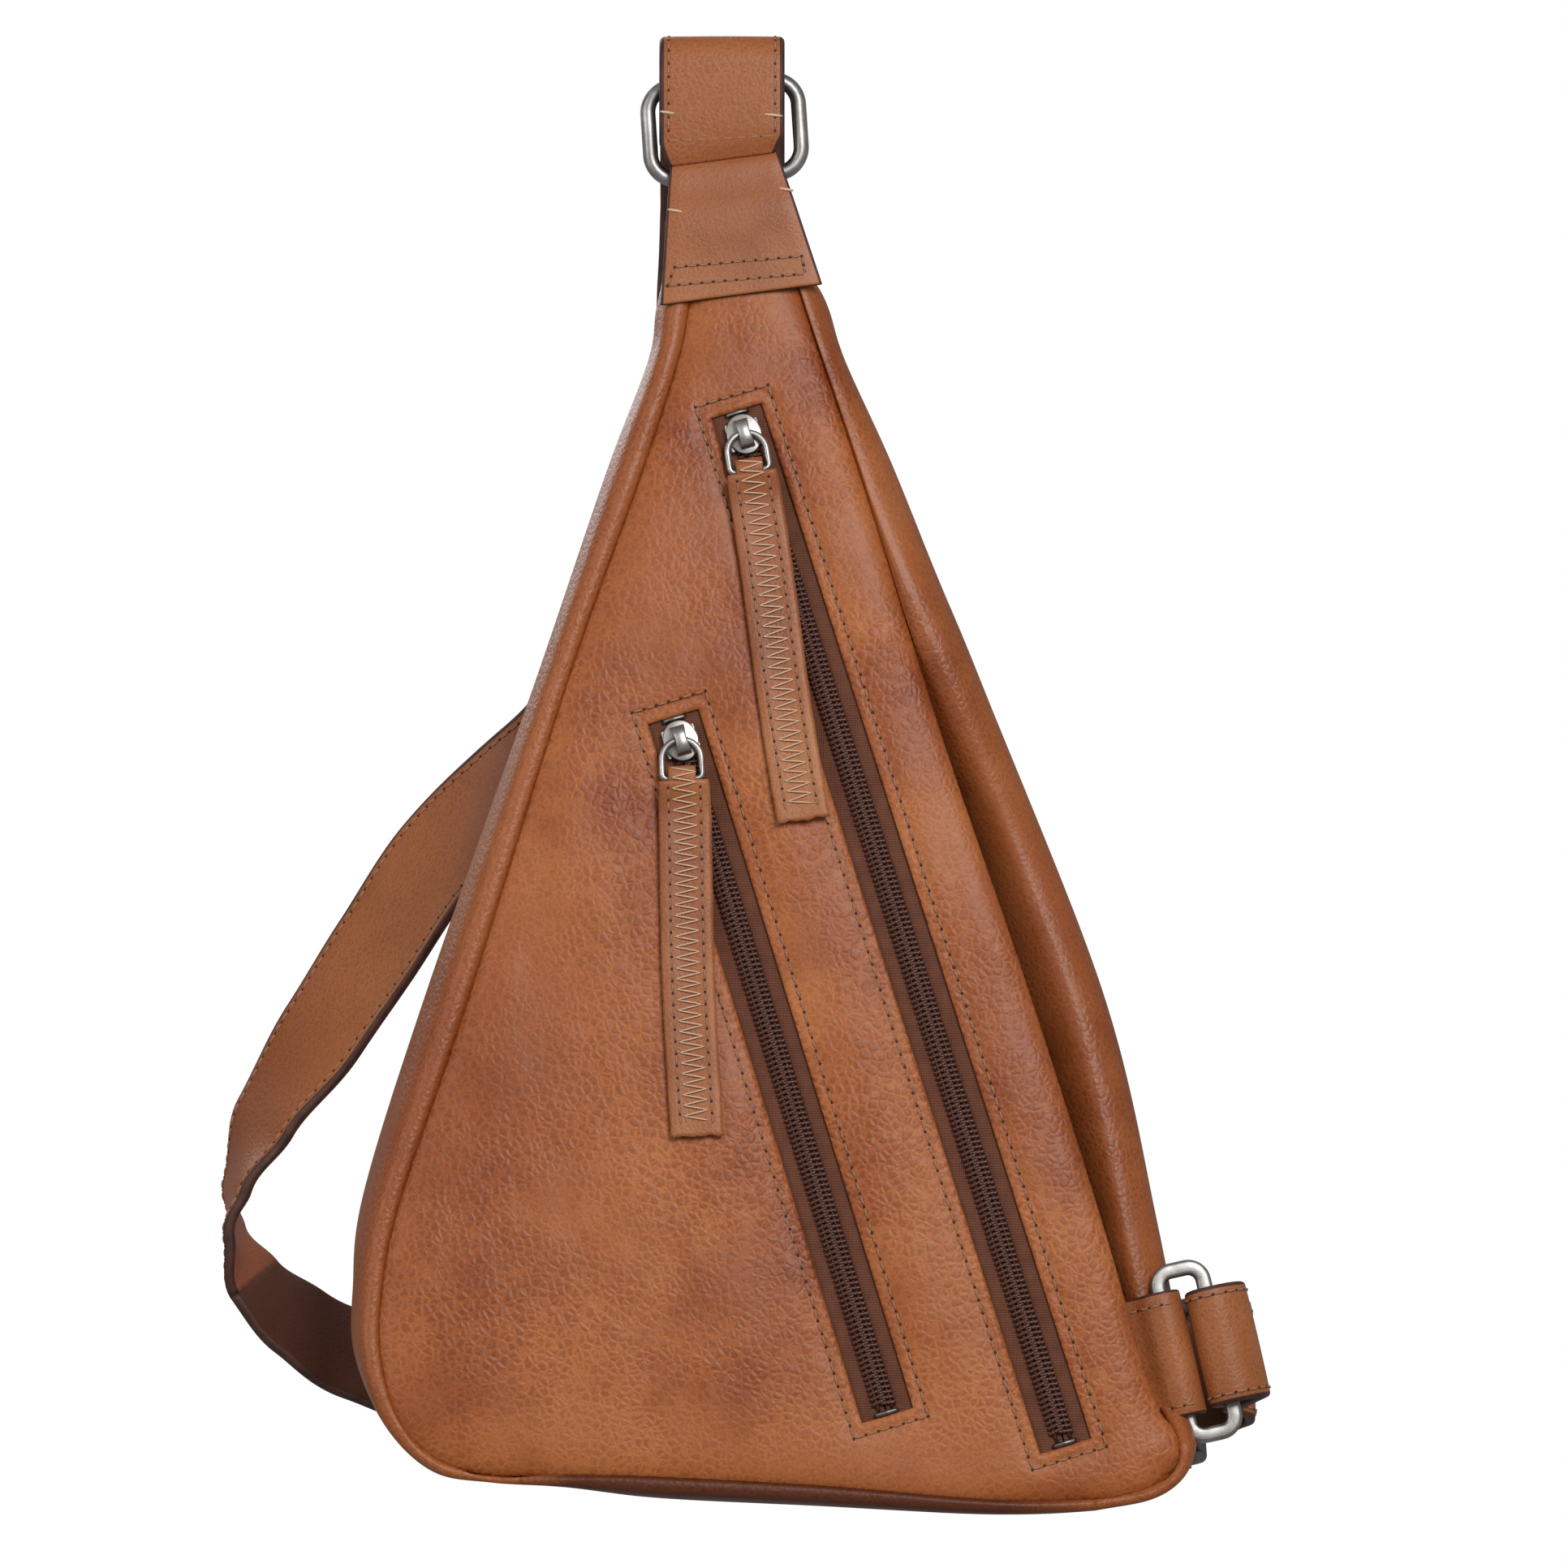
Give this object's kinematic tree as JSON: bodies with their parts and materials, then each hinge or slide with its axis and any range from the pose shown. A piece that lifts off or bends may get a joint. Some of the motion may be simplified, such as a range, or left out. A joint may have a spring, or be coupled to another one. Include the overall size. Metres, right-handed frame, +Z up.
{
  "type": "sling bag",
  "caption": "Tapered leather sling bag with two slanted front zips, leather pulls, side slip opening, ringed neck tab and one wide strap looped behind it.",
  "frame": {"origin": "inside of the fold at the top of the strap loop, where the bag hangs", "axes": "+X to the viewer's right, -Y the front, +Z up"},
  "size_m": [0.317, 0.1211, 0.4471],
  "materials": {
    "leather": "pebbled satin",
    "strap_leather": "smooth satin",
    "lining": "woven",
    "tape": "woven",
    "coil": "nylon coil",
    "nickel": "antique nickel",
    "dark_metal": "gunmetal"
  },
  "bodies": {
    "bag": {"front_panel": "leather", "front_edge": "leather", "front_lining": "lining", "pocket_partition": "lining", "left_gusset": "leather", "bottom_gusset": "leather", "right_gusset": "leather", "right_gusset_edge": "leather", "right_gusset_top": "leather", "back_panel": "leather", "neck_tab": "leather", "strap_loop": "strap_leather", "lower_tab": "leather", "strap_end_loop": "strap_leather", "zip_1_tape_left": "tape", "zip_1_tape_right": "tape", "zip_1_coil_left": "coil", "zip_1_coil_right": "coil", "zip_1_top_stop": "dark_metal", "zip_1_bottom_stop": "dark_metal", "zip_2_tape_left": "tape", "zip_2_tape_right": "tape", "zip_2_coil_left": "coil", "zip_2_coil_right": "coil", "zip_2_top_stop": "dark_metal", "zip_2_bottom_stop": "dark_metal"},
    "top_ring": {"top_ring": "nickel"},
    "lower_ring": {"lower_ring": "nickel"},
    "strap": {"strap": "strap_leather"},
    "tri_glide": {"tri_glide": "dark_metal"},
    "slider_1": {"slider_1": "nickel"},
    "pull_ring_1": {"pull_ring_1": "nickel"},
    "leather_pull_1": {"leather_pull_1": "leather"},
    "slider_2": {"slider_2": "nickel"},
    "pull_ring_2": {"pull_ring_2": "nickel"},
    "leather_pull_2": {"leather_pull_2": "leather"}
  },
  "joints": [
    {"name": "top_ring_swing", "type": "hinge", "parent": "bag", "child": "top_ring", "pos_m": [0, 0, -0.0105], "axis": [0.9978, 0, 0.0663], "range_deg": [-4, 4]},
    {"name": "lower_ring_swing", "type": "hinge", "parent": "bag", "child": "lower_ring", "pos_m": [0.14959, -0.04716, -0.39455], "axis": [0.2173, -0.1542, -0.9638], "range_deg": [-4, 4]},
    {"name": "strap_swing", "type": "hinge", "parent": "bag", "child": "strap", "pos_m": [0.008, 0.02, -0.044], "axis": [0.3817, -0.0413, -0.9234], "range_deg": [0, 45]},
    {"name": "glide_slide", "type": "slide", "parent": "strap", "child": "tri_glide", "axis": [-0.9976, 0, -0.0695], "range_m": [0, 0.04]},
    {"name": "zip_1_slide", "type": "slide", "parent": "bag", "child": "slider_1", "axis": [0.2983, -0.1508, -0.9425], "range_m": [0, 0.309]},
    {"name": "pull_ring_1_lift", "type": "hinge", "parent": "slider_1", "child": "pull_ring_1", "pos_m": [0.00709, -0.0198, -0.11878], "axis": [-0.9885, -0.0239, -0.1495], "range_deg": [0, 110]},
    {"name": "leather_pull_1_lift", "type": "hinge", "parent": "pull_ring_1", "child": "leather_pull_1", "pos_m": [0.0089, -0.02167, -0.13049], "axis": [-0.9885, -0.0239, -0.1495], "range_deg": [0, 60]},
    {"name": "zip_2_slide", "type": "slide", "parent": "bag", "child": "slider_2", "axis": [0.2913, -0.1511, -0.9446], "range_m": [0, 0.2]},
    {"name": "pull_ring_2_lift", "type": "hinge", "parent": "slider_2", "child": "pull_ring_2", "pos_m": [-0.01197, -0.03475, -0.2122], "axis": [-0.9992, -0.0064, -0.0401], "range_deg": [0, 110]},
    {"name": "leather_pull_2_lift", "type": "hinge", "parent": "pull_ring_2", "child": "leather_pull_2", "pos_m": [-0.01148, -0.03664, -0.22404], "axis": [-0.9992, -0.0064, -0.0401], "range_deg": [0, 60]}
  ]
}
